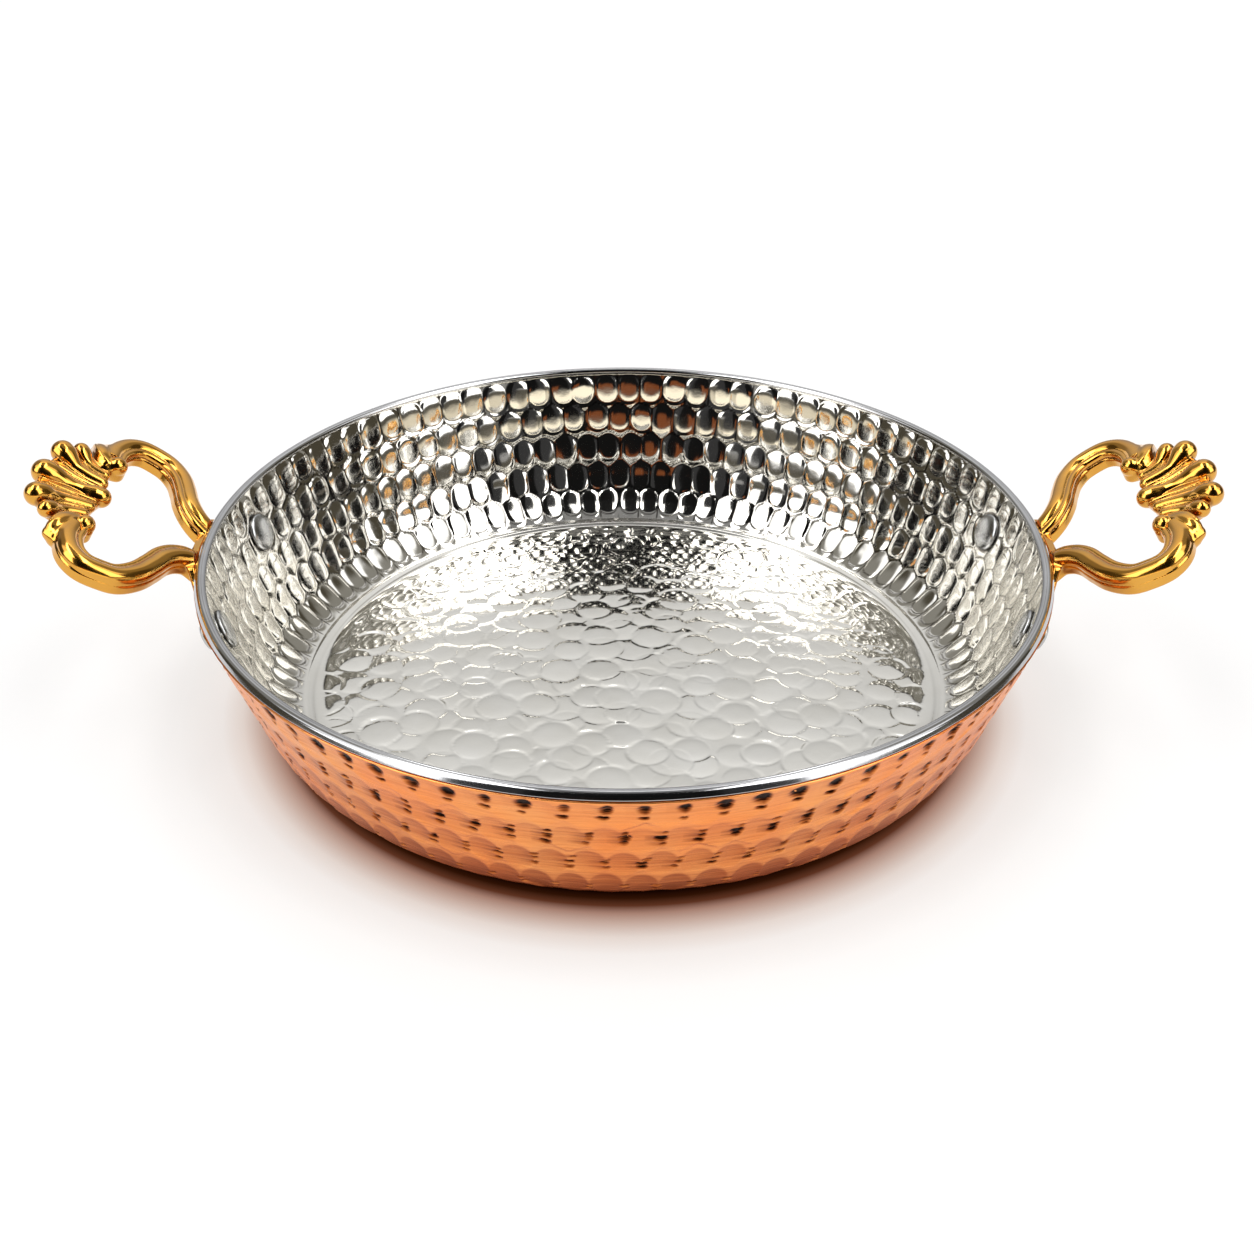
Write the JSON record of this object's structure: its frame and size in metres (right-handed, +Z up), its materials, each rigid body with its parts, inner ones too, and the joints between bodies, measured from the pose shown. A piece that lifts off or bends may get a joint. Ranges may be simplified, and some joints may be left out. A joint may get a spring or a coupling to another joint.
{
  "type": "two-handled copper pan",
  "caption": "Shallow round hammered copper pan with a bright lining, a rolled lip and cast brass loop handles with a shell and scroll ornament, for cooking and serving.",
  "frame": {"origin": "centre of the bounding box at the resting surface, which is the pan's axis at the underside of its base", "axes": "+Z up along the pan's axis, +X out through the right handle, so the handles lie along X"},
  "size_m": [0.3302, 0.24, 0.0736],
  "materials": {
    "copper": "hammered copper, satin polish",
    "bright_lining": "hammered bright tinned metal",
    "cast_brass": "high polish",
    "rivet": "smooth polished"
  },
  "bodies": {
    "root": {"copper_shell": "copper", "inner_lining": "bright_lining", "handle_left": "cast_brass", "handle_right": "cast_brass", "rivet_left_rear": "rivet", "rivet_left_front": "rivet", "rivet_right_rear": "rivet", "rivet_right_front": "rivet"}
  },
  "joints": []
}
